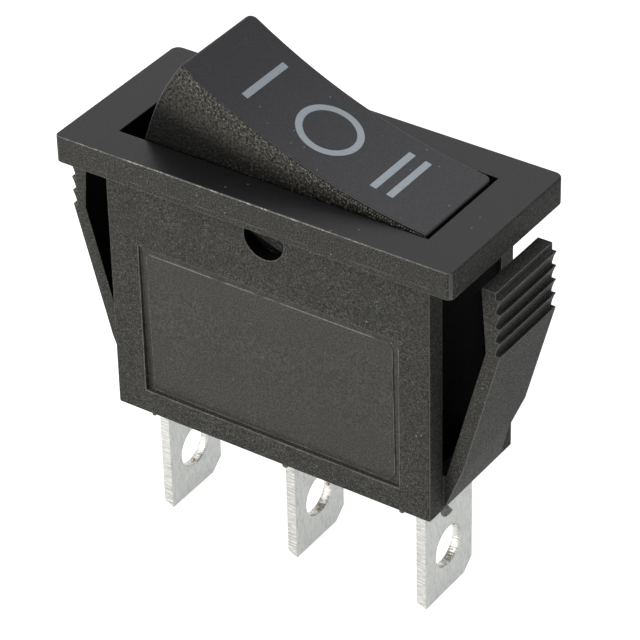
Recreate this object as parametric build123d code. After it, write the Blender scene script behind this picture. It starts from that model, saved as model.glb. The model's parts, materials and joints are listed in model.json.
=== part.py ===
from build123d import *
import math
import os

# Snap-in panel rocker switch, ON-OFF-ON, with three blade terminals.
#
# Frame: origin at the centre of the bezel's underside, which seats on the panel.
# +X runs along the switch towards its II end, +Y away from the label face, +Z out of the panel.
# All sizes are in millimetres. The switch is drawn at rest with its II end pressed.

# ---- rocker --------------------------------------------------------------------------------------------
ROCKER_WIDTH = 8.0            # across the switch
ROCKER_HALF_LENGTH = 10.98    # pivot to the fullest point of an end face
ROCKER_TIP_REACH = 10.0       # pivot to a top corner, along the rocker
ROCKER_TIP_HEIGHT = 7.68      # pivot to a top corner, upwards
ROCKER_DISH = 1.2             # how far the top face dips between its corners
ROCKER_END_FULLEST = 1.8      # height above the pivot where an end face is fullest
ROCKER_TILT = 19.3            # degrees from level to either pressed end
ROCKER_TOP_WALL = 1.4
ROCKER_SIDE_WALL = 1.0
ROCKER_END_WALL = 1.2
ROCKER_END_DROP = 0.8         # end skirts below the pivot
ROCKER_SKIRT_DROP = 2.3       # middle of the side skirts below the pivot
ROCKER_SKIRT_FLAT = 3.0       # half length of that deep middle
ROCKER_EDGE_RADIUS = 0.14
ROCKER_CORNER_RADIUS = 0.6    # upright edges of the ends, on the back side
PIVOT_DEPTH = 1.8             # pivot axis below the bezel's underside

# ---- pivot pins, moulded on the rocker -----------------------------------------------------------------
PIN_RADIUS = 1.5
PIN_CLEARANCE = 0.08          # running clearance in the wall, on radius
PIN_INSET = 0.2               # pin end below the wall's outer face
PIN_FLAT_DROP = 0.15          # the ramp starts this far below the pin's axis
PIN_RAMP = 0.95               # how much shorter the pin is at the foot of the ramp

# ---- housing walls and gaps ----------------------------------------------------------------------------
ROCKER_SIDE_GAP = 0.25
ROCKER_END_GAP = 0.25
SIDE_WALL = 0.95
END_WALL = 0.67
FLOOR_THICKNESS = 1.2
BODY_DEPTH = 19.9
BODY_FOOT_RADIUS = 0.12       # edge around the bottom
BODY_EDGE_RADIUS = 0.15       # upright outer edges

# ---- bezel ---------------------------------------------------------------------------------------------
BEZEL_THICKNESS = 2.05
BEZEL_END_OVERHANG = 2.75
BEZEL_SIDE_OVERHANG = 1.75
BEZEL_FRONT_CORNER = 0.45
BEZEL_BACK_CORNER = 0.65
BEZEL_EDGE_RADIUS = 0.12

# ---- end pockets, which take the snap arms when they are pushed in -------------------------------------
POCKET_DEPTH = 0.8
POCKET_TOP = 4.75             # below the bezel
POCKET_UPPER_DEPTH = 0.17     # shallow recess between the bezel and the pocket
POCKET_MARGIN = 0.1           # wider than the arm by this on each side
POCKET_STEP = 1.08            # the well is shorter than the opening by this at each end

# ---- snap arms -----------------------------------------------------------------------------------------
ARM_WIDTH = 7.0
ARM_THICKNESS = 1.08
ARM_REACH = 4.3               # tooth tips beyond the body's end
ARM_TOP_GAP = 0.88            # arm top below the bezel
ARM_ROOT_HEIGHT = 2.85        # root block above the body's bottom
ARM_BEND_HEIGHT = 4.0         # lower bevel above the body's bottom
ARM_SLOPE = 15.1              # degrees from upright
ARM_ROOT_REACH = 0.15         # lower end of the bevel beyond the body's end
ARM_TOE_HEIGHT = 0.3          # chamfer under the bevel's lower end
ARM_UPPER_LEAN = 0.36         # the inner face leans out by this over the toothed length
ARM_NICK = 1.25               # depth of the nick in the back edge, at the bend
ARM_NICK_RISE = 1.85          # the nick starts this far above the bend
TOOTH_COUNT = 5
TOOTH_PITCH = 1.09
TOOTH_DEPTH = 0.36
TOOTH_HOLLOW = 0.06           # how far the slope under a tooth is hollowed
TOOTH_START = 0.56            # first ledge below the arm's top

# ---- label recess in the front wall --------------------------------------------------------------------
LABEL_LENGTH = 20.9
LABEL_HEIGHT = 12.0
LABEL_TOP = 6.0               # below the bezel
LABEL_TOP_DEPTH = 0.22        # depth of the groove at the recess's top
LABEL_FOOT_DEPTH = 0.42       # and at its foot
LABEL_RAISE = 0.08            # the panel stands above the groove around it
LABEL_BORDER = 0.5            # width of the groove
LABEL_FOOT_BORDER = 0.4       # and below the panel
LABEL_PANEL_RADIUS = 0.5

# ---- pivot of the see-saw lever ------------------------------------------------------------------------
FULCRUM_DEPTH = 14.15         # below the bezel
LEVER_TILT = 6.0              # degrees either way
LEVER_THICKNESS = 0.7
LEVER_WIDTH = 5.0
LEVER_WAIST = 3.3             # width between the fork's prongs
LEVER_WAIST_GAP = 0.35        # notch beyond the fork's faces, along the lever
LEVER_END_MARGIN = 1.5        # lever beyond a contact's centre
LEVER_BEND_RADIUS = 1.0       # where the trough turns into an arm
TROUGH_MARGIN = 3.0           # degrees of trough beyond the plunger's last place
FULCRUM_GAP = 0.05

# ---- plunger and spring --------------------------------------------------------------------------------
PLUNGER_RADIUS = 1.45
PLUNGER_CLEARANCE = 0.1
PLUNGER_TIP_RADIUS = 1.1
PLUNGER_TAPER = 0.7           # length of the cone behind the nose
PLUNGER_TIP_GAP = 0.1         # plunger tip above the lever's valley with the rocker level
PLUNGER_GUIDED = 2.6          # length held in the stem
PLUNGER_SPIGOT_RADIUS = 0.8
PLUNGER_SPIGOT = 1.2
STEM_RADIUS = 2.45
STEM_DROP = 8.0               # stem end below the pivot
STEM_ROOT_DROP = 1.2          # block that ties the stem to the side walls, below the pivot
BORE_TOP = 1.6                # end of the spring bore above the pivot
SPRING_WIRE = 0.36
WIRE_SIDES = 6
SPRING_TURNS = 4.5
SPRING_GAP = 0.1              # coil to bore wall, and coil ends to their seats

# ---- terminals -----------------------------------------------------------------------------------------
TERMINAL_PITCH = 10.73
TERMINAL_GAP = 0.02           # throw terminal to the end wall of the well
BLADE_THICKNESS = 0.8
BLADE_WIDTH = 6.0
BLADE_LENGTH = 9.85           # below the body
BLADE_HOLE_RADIUS = 1.57
BLADE_HOLE_HEIGHT = 3.7       # hole centre above the blade's tip
BLADE_CORNER = 1.05           # cut corner, across the blade
BLADE_CORNER_RISE = 0.85      # cut corner, along the blade
BLADE_BEVEL = 0.4
DIMPLE_DROP = 2.27            # centre of the round dimple below the body
DIMPLE_RADIUS = 1.15
DIMPLE_FLOOR_RADIUS = 0.6
DIMPLE_DEPTH = 0.3
DIMPLE_SIDES = 16
SHOULDER_WIDTH = 7.0
SHOULDER_HEIGHT = 2.2
SLOT_CLEARANCE = 0.04
BEND_RADIUS = 0.3             # inside of the bend
TONGUE_WIDTH = 5.4
TONGUE_END_MARGIN = 1.7       # tongue beyond the contact's centre
RIB_THICKNESS = 0.7
RIB_OVERLAP = 0.3             # ribs reach over the shoulders by this
RIB_HEIGHT = 1.8
PRONG_GAP = 0.2               # waist of the lever to a prong
PRONG_HEIGHT = 1.9            # above the fulcrum

# ---- contacts ------------------------------------------------------------------------------------------
CONTACT_REACH = 8.0           # contact centres from the fulcrum
CONTACT_RADIUS = 1.35
CONTACT_EDGE = 0.25           # straight rim of a contact head
CONTACT_RISE = 0.2            # from the rim up to the middle of the head
CONTACT_GAP = 0.08            # between closed contacts
SHANK_RADIUS = 0.7
SHANK_CLEARANCE = 0.02

# ---- tools for cutting ---------------------------------------------------------------------------------
THROUGH = 50.0                # longer than the switch, for cuts that run right through
OVERRUN = 1.0                 # how far a cut runs past the face it opens
SAME_PLACE = 0.01             # two places this close are one

# ---- sizes that follow ---------------------------------------------------------------------------------
TILT = math.radians(ROCKER_TILT)
LEAN = math.radians(LEVER_TILT)
TIP_RADIUS = math.hypot(ROCKER_TIP_REACH, ROCKER_TIP_HEIGHT)
TIP_ANGLE = math.atan2(ROCKER_TIP_HEIGHT, ROCKER_TIP_REACH)
PRESSED_REACH = TIP_RADIUS * math.cos(TIP_ANGLE - TILT)
END_BOW = ROCKER_HALF_LENGTH - ROCKER_TIP_REACH
END_RISE = ROCKER_TIP_HEIGHT - ROCKER_END_FULLEST
END_BOW_RADIUS = (END_RISE ** 2 + END_BOW ** 2) / (2 * END_BOW)
OPENING_HALF = PRESSED_REACH + ROCKER_END_GAP
OPENING_WIDTH = ROCKER_WIDTH + 2 * ROCKER_SIDE_GAP
TERMINAL_END = TERMINAL_PITCH + BLADE_THICKNESS / 2 + TERMINAL_GAP
INNER_HALF = max(OPENING_HALF, TERMINAL_END + POCKET_STEP)
WELL_HALF = INNER_HALF - POCKET_STEP
BODY_END = INNER_HALF + END_WALL
BODY_WIDTH = OPENING_WIDTH + 2 * SIDE_WALL
BEZEL_LENGTH = 2 * (BODY_END + BEZEL_END_OVERHANG)
BEZEL_WIDTH = BODY_WIDTH + 2 * BEZEL_SIDE_OVERHANG
FLOOR_TOP = FLOOR_THICKNESS - BODY_DEPTH
BLADE_TIP = -BODY_DEPTH - BLADE_LENGTH
BORE_RADIUS = PLUNGER_RADIUS + PLUNGER_CLEARANCE
PLUNGER_REACH = (FULCRUM_DEPTH - PIVOT_DEPTH) - LEVER_THICKNESS - PLUNGER_TIP_GAP
PLUNGER_TOP = -STEM_DROP + PLUNGER_GUIDED
CONTACT_HEIGHT = CONTACT_EDGE + CONTACT_RISE

PIVOT = Pos(0, 0, -PIVOT_DEPTH)
FULCRUM = Pos(0, 0, -FULCRUM_DEPTH)
ROCKER_REST = Rot(0, ROCKER_TILT, 0)
LEVER_REST = Rot(0, -LEVER_TILT, 0)


# ---- shared forms --------------------------------------------------------------------------------------
def xz(x, z):
    return (x, 0, z)


def face_of(*lines):
    """A face bounded by lines and arcs that meet end to end."""
    return make_face([edge for line in lines for edge in line.edges()])


def plate_xz(points, width):
    """An outline drawn in X and Z, as thick as the width, centred across the switch."""
    outline = make_face(Polyline(*[xz(x, z) for x, z in points], close=True))
    return extrude(outline, amount=width / 2, dir=(0, 1, 0), both=True)


def plate_yz(points, thickness):
    """An outline drawn in Y and Z, centred on X = 0."""
    outline = make_face(Polyline(*[(0, y, z) for y, z in points], close=True))
    return extrude(outline, amount=thickness / 2, dir=(1, 0, 0), both=True)


def block(x0, x1, y0, y1, z0, z1):
    """A box given by two opposite corners, in either order."""
    centre = Pos((x0 + x1) / 2, (y0 + y1) / 2, (z0 + z1) / 2)
    return centre * Box(abs(x1 - x0), abs(y1 - y0), abs(z1 - z0))


def both_ends(shape):
    """A shape of the +X end with its mirror image at the other end."""
    return [shape, mirror(shape, Plane.YZ)]


# ---- housing -------------------------------------------------------------------------------------------
def bezel():
    plate = extrude(Rectangle(BEZEL_LENGTH, BEZEL_WIDTH), amount=BEZEL_THICKNESS)
    plate = fillet(plate.edges().filter_by(Axis.Z).group_by(Axis.Y)[0], BEZEL_FRONT_CORNER)
    plate = fillet(plate.edges().filter_by(Axis.Z).group_by(Axis.Y)[-1], BEZEL_BACK_CORNER)
    return fillet(plate.edges().group_by(Axis.Z)[-1], BEZEL_EDGE_RADIUS)


def body_block():
    half = BODY_WIDTH / 2
    body = block(-BODY_END, BODY_END, -half, half, -BODY_DEPTH, 0)
    body = fillet(body.edges().filter_by(Axis.Z), BODY_EDGE_RADIUS)
    return fillet(body.edges().group_by(Axis.Z)[0], BODY_FOOT_RADIUS)


def snap_arm():
    """The +X arm: a root block, a bevel, a sloping leaf and a toothed head."""
    slope = math.tan(math.radians(ARM_SLOPE))
    across = ARM_THICKNESS / math.cos(math.radians(ARM_SLOPE))
    tip = BODY_END + ARM_REACH
    valley = tip - TOOTH_DEPTH
    top = -ARM_TOP_GAP
    ledges = [top - TOOTH_START - tooth * TOOTH_PITCH for tooth in range(TOOTH_COUNT)]
    hollow = (tip + valley) / 2 - TOOTH_HOLLOW
    teeth = [Line(xz(valley, ledge), xz(tip, ledge)) for ledge in ledges]
    teeth += [ThreePointArc(xz(tip, high), xz(hollow, (high + low) / 2), xz(valley, low))
              for high, low in zip(ledges, ledges[1:])]
    head_foot = ledges[-1]
    bend = ARM_BEND_HEIGHT - BODY_DEPTH
    bend_x = tip - (head_foot - bend) * slope
    toe = ARM_TOE_HEIGHT - BODY_DEPTH
    root = BODY_END - POCKET_DEPTH
    root_top = ARM_ROOT_HEIGHT - BODY_DEPTH
    inner_foot = bend_x - across - (bend - root_top) * slope
    rest = [(tip, head_foot), (bend_x, bend), (BODY_END + ARM_ROOT_REACH, toe),
            (BODY_END - ARM_TOE_HEIGHT, -BODY_DEPTH), (root, -BODY_DEPTH), (root, root_top),
            (inner_foot, root_top), (tip - across, head_foot), (tip - across - ARM_UPPER_LEAN, top),
            (valley, top), (valley, ledges[0])]
    outline = face_of(*teeth, Polyline(*[xz(x, z) for x, z in rest]))
    arm = extrude(outline, amount=ARM_WIDTH / 2, dir=(0, 1, 0), both=True)
    edge = ARM_WIDTH / 2
    nick_top = bend + ARM_NICK_RISE
    return arm - plate_yz([(edge, nick_top), (edge - ARM_NICK, bend), (edge, toe),
                           (edge + OVERRUN, toe), (edge + OVERRUN, nick_top)], THROUGH)


def end_pocket():
    """What is cut from the +X end of the body: the arm's pocket and the recess above it."""
    half = ARM_WIDTH / 2 + POCKET_MARGIN
    beyond = BODY_END + OVERRUN
    root_top = ARM_ROOT_HEIGHT - BODY_DEPTH
    pocket = block(BODY_END - POCKET_DEPTH, beyond, -half, half, root_top, -POCKET_TOP)
    recess = block(BODY_END - POCKET_UPPER_DEPTH, beyond, -half, half, -POCKET_TOP, 0)
    return pocket + recess


def cavity():
    """The opening for the rocker, and below it the well that holds the mechanism."""
    step_top = abs(OPENING_HALF - WELL_HALF) - POCKET_TOP
    half = [(OPENING_HALF, BEZEL_THICKNESS), (OPENING_HALF, step_top),
            (WELL_HALF, -POCKET_TOP), (WELL_HALF, FLOOR_TOP)]
    other_half = [(-x, z) for x, z in reversed(half)]
    return plate_xz(half + other_half, OPENING_WIDTH)


def label_recess():
    """A sunk rectangle in the front wall, deeper to its foot, that leaves a panel with round corners."""
    front = -BODY_WIDTH / 2
    top = -LABEL_TOP
    foot = top - LABEL_HEIGHT

    def sunk(depth_less):
        return plate_yz([(front - OVERRUN, top), (front + LABEL_TOP_DEPTH - depth_less, top),
                         (front + LABEL_FOOT_DEPTH - depth_less, foot), (front - OVERRUN, foot)],
                        LABEL_LENGTH)

    panel_top = top - LABEL_BORDER
    panel_foot = foot + LABEL_FOOT_BORDER
    middle = Plane(origin=(0, 0, (panel_top + panel_foot) / 2), x_dir=(1, 0, 0), z_dir=(0, -1, 0))
    panel = middle * RectangleRounded(LABEL_LENGTH - 2 * LABEL_BORDER, panel_top - panel_foot,
                                      LABEL_PANEL_RADIUS)
    return (sunk(0) - extrude(panel, amount=THROUGH)) + sunk(LABEL_RAISE)


def terminal_slots():
    """One slot through the floor for each blade."""
    x = BLADE_THICKNESS / 2 + SLOT_CLEARANCE
    y = BLADE_WIDTH / 2 + SLOT_CLEARANCE
    slot = block(-x, x, -y, y, -BODY_DEPTH - OVERRUN, FLOOR_TOP + OVERRUN)
    return [Pos(place, 0, 0) * slot for place in (-TERMINAL_PITCH, 0, TERMINAL_PITCH)]


def guide_ribs():
    """Upright ribs on the long walls that keep each terminal's shoulders from tipping."""
    near = BLADE_THICKNESS / 2 + SLOT_CLEARANCE
    reach = SHOULDER_WIDTH / 2 - RIB_OVERLAP
    in_wall = OPENING_WIDTH / 2 + SIDE_WALL / 2
    in_floor = FLOOR_TOP - FLOOR_THICKNESS / 2
    rib = block(-near, -near - RIB_THICKNESS, reach, in_wall, in_floor, FLOOR_TOP + RIB_HEIGHT)
    pair = [rib, mirror(rib, Plane.XZ)]
    at_end = [Pos(TERMINAL_PITCH, 0, 0) * rib for rib in pair]
    return [side for rib in pair + at_end for side in both_ends(rib)]


def housing():
    shell = body_block() - both_ends(end_pocket())
    shell = shell + bezel() + both_ends(snap_arm())
    shell = shell - cavity() + guide_ribs()
    pivot_hole = PIVOT * Rot(90, 0, 0) * Cylinder(PIN_RADIUS + PIN_CLEARANCE, THROUGH)
    return shell - pivot_hole - label_recess() - terminal_slots()


# ---- rocker --------------------------------------------------------------------------------------------
def rocker_form(top_wall, end_wall, width, end_drop, middle_drop):
    """Dished top, bowed ends and skirts that deepen to the middle, inset by the given walls.

    It is level and about its pivot.
    """
    top = ROCKER_TIP_HEIGHT - top_wall
    full = ROCKER_HALF_LENGTH - end_wall

    def end_point(side, share):
        """A point of an end face, from its fullest (0) to the top corner (1)."""
        height = share * (top - ROCKER_END_FULLEST)
        back = END_BOW_RADIUS - math.sqrt(END_BOW_RADIUS ** 2 - height ** 2)
        return xz(side * (full - back), ROCKER_END_FULLEST + height)

    def end_arc(side):
        return ThreePointArc(end_point(side, 0), end_point(side, 0.5), end_point(side, 1))

    dish = ThreePointArc(end_point(-1, 1), xz(0, top - ROCKER_DISH), end_point(1, 1))
    skirt = Polyline(end_point(1, 0), xz(full, -end_drop), xz(ROCKER_SKIRT_FLAT, -middle_drop),
                     xz(-ROCKER_SKIRT_FLAT, -middle_drop), xz(-full, -end_drop), end_point(-1, 0))
    face = face_of(dish, end_arc(1), skirt, end_arc(-1))
    return extrude(face, amount=width / 2, dir=(0, 1, 0), both=True)


def pivot_pin():
    """The front pin, flat above and ramped below so that it snaps into the wall."""
    root = ROCKER_WIDTH / 2 - ROCKER_SIDE_WALL / 2
    end = ROCKER_WIDTH / 2 + ROCKER_SIDE_GAP + SIDE_WALL - PIN_INSET
    pin = Pos(0, -(root + end) / 2, 0) * Rot(90, 0, 0) * Cylinder(PIN_RADIUS, end - root)
    ramp = plate_yz([(-end, -PIN_FLAT_DROP), (PIN_RAMP - end, -PIN_RADIUS),
                     (-end - OVERRUN, -PIN_RADIUS), (-end - OVERRUN, -PIN_FLAT_DROP)], THROUGH)
    return pin - ramp


def is_back_corner(edge):
    """Whether an edge is one of the upright ones at the ends of the rocker's back side."""
    place = edge.center()
    return (place.Z > ROCKER_END_FULLEST and abs(place.X) > ROCKER_TIP_REACH
            and place.Y > ROCKER_WIDTH / 2 - SAME_PLACE)


def rocker():
    inner_half = ROCKER_WIDTH / 2 - ROCKER_SIDE_WALL
    ceiling = ROCKER_TIP_HEIGHT - ROCKER_DISH - ROCKER_TOP_WALL / 2
    shell = rocker_form(0, 0, ROCKER_WIDTH, ROCKER_END_DROP, ROCKER_SKIRT_DROP)
    back_corners = shell.edges().filter_by(is_back_corner)
    shell = fillet(back_corners, ROCKER_CORNER_RADIUS)
    top_edges = shell.edges().filter_by(lambda edge: edge.center().Z > ROCKER_END_FULLEST)
    shell = fillet(top_edges, ROCKER_EDGE_RADIUS)
    hollow = rocker_form(ROCKER_TOP_WALL, ROCKER_END_WALL, 2 * inner_half, THROUGH, THROUGH)
    stem = Pos(0, 0, (ceiling - STEM_DROP) / 2) * Cylinder(STEM_RADIUS, ceiling + STEM_DROP)
    tie = block(-STEM_RADIUS, STEM_RADIUS, -inner_half, inner_half, -STEM_ROOT_DROP, ceiling)
    bore = Pos(0, 0, (BORE_TOP - THROUGH) / 2) * Cylinder(BORE_RADIUS, BORE_TOP + THROUGH)
    pin = pivot_pin()
    level = (shell - hollow) + [tie, stem] - bore + [pin, mirror(pin, Plane.XZ)]
    return PIVOT * ROCKER_REST * level


# ---- plunger and spring, on the stem's axis ------------------------------------------------------------
def plunger():
    """A round-nosed pin with a spigot for the spring."""
    nose_centre = PLUNGER_TIP_RADIUS - PLUNGER_REACH
    slant = PLUNGER_TIP_RADIUS * math.sqrt(0.5)
    spigot_top = PLUNGER_TOP + PLUNGER_SPIGOT
    nose = ThreePointArc(xz(0, -PLUNGER_REACH), xz(slant, nose_centre - slant),
                         xz(PLUNGER_TIP_RADIUS, nose_centre))
    side = Polyline(xz(PLUNGER_TIP_RADIUS, nose_centre), xz(PLUNGER_RADIUS, nose_centre + PLUNGER_TAPER),
                    xz(PLUNGER_RADIUS, PLUNGER_TOP), xz(PLUNGER_SPIGOT_RADIUS, PLUNGER_TOP),
                    xz(PLUNGER_SPIGOT_RADIUS, spigot_top), xz(0, spigot_top), xz(0, -PLUNGER_REACH))
    return PIVOT * ROCKER_REST * revolve(face_of(nose, side), Axis.Z)


def spring():
    """A helical spring between the plunger's shoulder and the end of the bore, its wire six-sided."""
    wire = SPRING_WIRE / 2
    low = PLUNGER_TOP + wire + SPRING_GAP
    length = BORE_TOP - wire - SPRING_GAP - low
    radius = BORE_RADIUS - SPRING_GAP - wire
    path = Pos(0, 0, low) * Helix(length / SPRING_TURNS, length, radius)
    section = Plane(origin=path @ 0, z_dir=path % 0) * RegularPolygon(wire, WIRE_SIDES)
    return PIVOT * ROCKER_REST * sweep(section, path=path)


# ---- see-saw lever -------------------------------------------------------------------------------------
def nose_travel():
    """How far the centre of the plunger's nose goes across and up, seen from the lever."""
    reach = PLUNGER_REACH - PLUNGER_TIP_RADIUS
    height = FULCRUM_DEPTH - PIVOT_DEPTH
    across = reach * math.sin(TILT)
    up = height - reach * math.cos(TILT)
    level_up = height - reach
    return (across * math.cos(LEAN) - up * math.sin(LEAN),
            up * math.cos(LEAN) + across * math.sin(LEAN) - level_up)


# The trough is an arc that the nose follows at a constant gap. Heights are above the fulcrum,
# with the lever level.
NOSE_ACROSS, NOSE_RISE = nose_travel()
NOSE_PATH_RADIUS = (NOSE_ACROSS ** 2 + NOSE_RISE ** 2) / (2 * NOSE_RISE)
TROUGH_RADIUS = NOSE_PATH_RADIUS + PLUNGER_TIP_RADIUS + PLUNGER_TIP_GAP
TROUGH_ANGLE = math.asin(NOSE_ACROSS / NOSE_PATH_RADIUS) + math.radians(TROUGH_MARGIN)
TROUGH_CENTRE = LEVER_THICKNESS + TROUGH_RADIUS
BEND_CENTRE = TROUGH_RADIUS + LEVER_THICKNESS + LEVER_BEND_RADIUS
BEND_X = BEND_CENTRE * math.sin(TROUGH_ANGLE)
LEVER_LEVEL = TROUGH_CENTRE - BEND_CENTRE * math.cos(TROUGH_ANGLE) + LEVER_BEND_RADIUS
LEVER_END = CONTACT_REACH + LEVER_END_MARGIN


def lever_face(offset):
    """One long face of the strip, from end to end: 0 is its underside, the thickness its top."""
    trough = TROUGH_RADIUS + LEVER_THICKNESS - offset
    bend = LEVER_BEND_RADIUS + offset
    level = LEVER_LEVEL + offset

    def on_trough(angle):
        return xz(trough * math.sin(angle), TROUGH_CENTRE - trough * math.cos(angle))

    def arm(side):
        half = TROUGH_ANGLE / 2
        half_bend = xz(side * (BEND_X - bend * math.sin(half)), level - bend * (1 - math.cos(half)))
        arc = ThreePointArc(xz(side * BEND_X, level), half_bend, on_trough(side * TROUGH_ANGLE))
        return [Line(xz(side * LEVER_END, level), xz(side * BEND_X, level)), arc]

    middle = ThreePointArc(on_trough(-TROUGH_ANGLE), on_trough(0), on_trough(TROUGH_ANGLE))
    return [middle] + arm(-1) + arm(1)


def contact_lever():
    """A strip with a trough for the plunger; its middle rocks on the common terminal."""
    top = LEVER_LEVEL + LEVER_THICKNESS
    ends = [Line(xz(side * LEVER_END, LEVER_LEVEL), xz(side * LEVER_END, top)) for side in (-1, 1)]
    outline = face_of(*lever_face(0), *lever_face(LEVER_THICKNESS), *ends)
    strip = extrude(outline, amount=LEVER_WIDTH / 2, dir=(0, 1, 0), both=True)
    notch = BLADE_THICKNESS / 2 + LEVER_WAIST_GAP
    beside = LEVER_WIDTH / 2 + OVERRUN
    notches = [block(-notch, notch, side * LEVER_WAIST / 2, side * beside, -OVERRUN, top)
               for side in (-1, 1)]
    holes = [Pos(side * CONTACT_REACH, 0, 0) * Cylinder(SHANK_RADIUS, THROUGH) for side in (-1, 1)]
    return FULCRUM * LEVER_REST * (strip - notches - holes)


def contact(thickness):
    """A riveted contact: a head that rises to its middle, seated at Z = 0, and its shank below."""
    shank = SHANK_RADIUS - SHANK_CLEARANCE
    outline = Polyline(xz(0, CONTACT_HEIGHT), xz(0, -thickness), xz(shank, -thickness), xz(shank, 0),
                       xz(CONTACT_RADIUS, 0), xz(CONTACT_RADIUS, CONTACT_EDGE), close=True)
    return revolve(make_face(outline), Axis.Z)


def lever_contact(side):
    head_down = Pos(side * CONTACT_REACH, 0, LEVER_LEVEL) * Rot(180, 0, 0)
    return FULCRUM * LEVER_REST * head_down * contact(LEVER_THICKNESS)


# ---- terminals -----------------------------------------------------------------------------------------
# A throw contact lies under the lever's contact when that end of the lever is down.
CREST = LEVER_LEVEL - CONTACT_HEIGHT
THROW_REACH = CONTACT_REACH * math.cos(LEAN) + CREST * math.sin(LEAN)
CLOSED_CREST = CREST * math.cos(LEAN) - CONTACT_REACH * math.sin(LEAN) - FULCRUM_DEPTH
TONGUE_TOP = CLOSED_CREST - CONTACT_GAP - CONTACT_HEIGHT


def dimple_form(low):
    """A low form with flat sides that widens from X = low over the dimple's depth."""
    axis = -BODY_DEPTH - DIMPLE_DROP

    def ring(x, radius):
        angles = [2 * math.pi * side / DIMPLE_SIDES for side in range(DIMPLE_SIDES)]
        return [(x, radius * math.cos(angle), axis + radius * math.sin(angle)) for angle in angles]

    floor = ring(low, DIMPLE_FLOOR_RADIUS)
    rim = ring(low + DIMPLE_DEPTH, DIMPLE_RADIUS)
    sides = [(floor[n - 1], floor[n], rim[n], rim[n - 1]) for n in range(DIMPLE_SIDES)]
    faces = [make_face(Polyline(*corners, close=True)).face() for corners in [floor, rim] + sides]
    return Solid(Shell(faces))


def blade_swelling():
    """What the dimple pushes out of every blade's -X face."""
    return dimple_form(-BLADE_THICKNESS / 2 - DIMPLE_DEPTH)


def blade_cuts():
    """What every blade loses at X = 0: its dimple, its hole, a cut corner and the bevel on its -X tip."""
    side = BLADE_WIDTH / 2
    half = BLADE_THICKNESS / 2
    below = BLADE_TIP - OVERRUN
    rise = BLADE_TIP + BLADE_CORNER_RISE
    hole = Pos(0, 0, BLADE_TIP + BLADE_HOLE_HEIGHT) * Rot(0, 90, 0) * Cylinder(
        BLADE_HOLE_RADIUS, 2 * BLADE_THICKNESS)
    corner = plate_yz([(side - BLADE_CORNER, BLADE_TIP), (side, rise), (side + OVERRUN, rise),
                       (side + OVERRUN, below), (side - BLADE_CORNER, below)], 2 * BLADE_THICKNESS)
    bevel = plate_xz([(-half, BLADE_TIP + BLADE_BEVEL), (half, BLADE_TIP), (half, below),
                      (-half, below)], THROUGH)
    dimple = dimple_form(half - DIMPLE_DEPTH)
    return [dimple, hole, corner, bevel]


def trim(half_width, x0, x1, low, high):
    """What is cut away on both sides of a strip to leave it 2 * half_width wide."""
    beyond = SHOULDER_WIDTH / 2 + OVERRUN
    return [block(x0, x1, side * half_width, side * beyond, low, high) for side in (-1, 1)]


def edge_across(shape, x, z):
    """The edge along Y at the given place."""
    return shape.edges().filter_by(Axis.Y).filter_by(
        lambda edge: math.hypot(edge.center().X - x, edge.center().Z - z) < SAME_PLACE)


def throw_sheet():
    """The bent strip at X = 0: it stands up inside the end wall and turns in under its contact."""
    half = BLADE_THICKNESS / 2
    inward = TERMINAL_PITCH - THROW_REACH + TONGUE_END_MARGIN
    tongue_foot = TONGUE_TOP - BLADE_THICKNESS
    sheet = plate_xz([(-half, BLADE_TIP), (half, BLADE_TIP), (half, TONGUE_TOP), (-inward, TONGUE_TOP),
                      (-inward, tongue_foot), (-half, tongue_foot)], SHOULDER_WIDTH)
    sheet = fillet(edge_across(sheet, -half, tongue_foot), BEND_RADIUS)
    return fillet(edge_across(sheet, half, TONGUE_TOP), BEND_RADIUS + BLADE_THICKNESS)


def throw_terminal(side):
    """A blade with shoulders on the floor and a tongue that holds a fixed contact."""
    beyond = BLADE_THICKNESS / 2 + OVERRUN
    shoulder_top = FLOOR_TOP + SHOULDER_HEIGHT
    neck = trim(BLADE_WIDTH / 2, -beyond, beyond, BLADE_TIP - OVERRUN, FLOOR_TOP)
    tongue = trim(TONGUE_WIDTH / 2, -THROUGH, beyond, shoulder_top, TONGUE_TOP + OVERRUN)
    rivet_hole = Pos(THROW_REACH - TERMINAL_PITCH, 0, TONGUE_TOP) * Cylinder(SHANK_RADIUS, THROUGH)
    sheet = throw_sheet() - neck - tongue - rivet_hole
    facing = sheet if side > 0 else mirror(sheet, Plane.YZ)
    return Pos(side * TERMINAL_PITCH, 0, 0) * (facing - blade_cuts() + blade_swelling())


def throw_contact(side):
    return Pos(side * THROW_REACH, 0, TONGUE_TOP) * contact(BLADE_THICKNESS)


def common_terminal():
    """A blade whose top is a fork: the lever rocks on its crotch, between two prongs."""
    neck = BLADE_WIDTH / 2
    shoulder = SHOULDER_WIDTH / 2
    shoulder_top = FLOOR_TOP + SHOULDER_HEIGHT
    crotch = -FULCRUM_DEPTH - FULCRUM_GAP
    prong_top = PRONG_HEIGHT - FULCRUM_DEPTH
    prong = LEVER_WAIST / 2 + PRONG_GAP
    half = [(prong, crotch), (prong, prong_top), (neck, prong_top), (neck, shoulder_top),
            (shoulder, shoulder_top), (shoulder, FLOOR_TOP), (neck, FLOOR_TOP), (neck, BLADE_TIP)]
    other_half = [(-y, z) for y, z in reversed(half)]
    return plate_yz(half + other_half, BLADE_THICKNESS) - blade_cuts() + blade_swelling()


# ---- write every piece ---------------------------------------------------------------------------------
def pieces():
    return {
        "housing": housing(),
        "rocker": rocker(),
        "plunger": plunger(),
        "plunger_spring": spring(),
        "contact_lever": contact_lever(),
        "lever_contact_1": lever_contact(-1),
        "lever_contact_2": lever_contact(1),
        "common_terminal": common_terminal(),
        "throw_terminal_1": throw_terminal(-1),
        "throw_terminal_2": throw_terminal(1),
        "throw_contact_1": throw_contact(-1),
        "throw_contact_2": throw_contact(1),
    }


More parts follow.
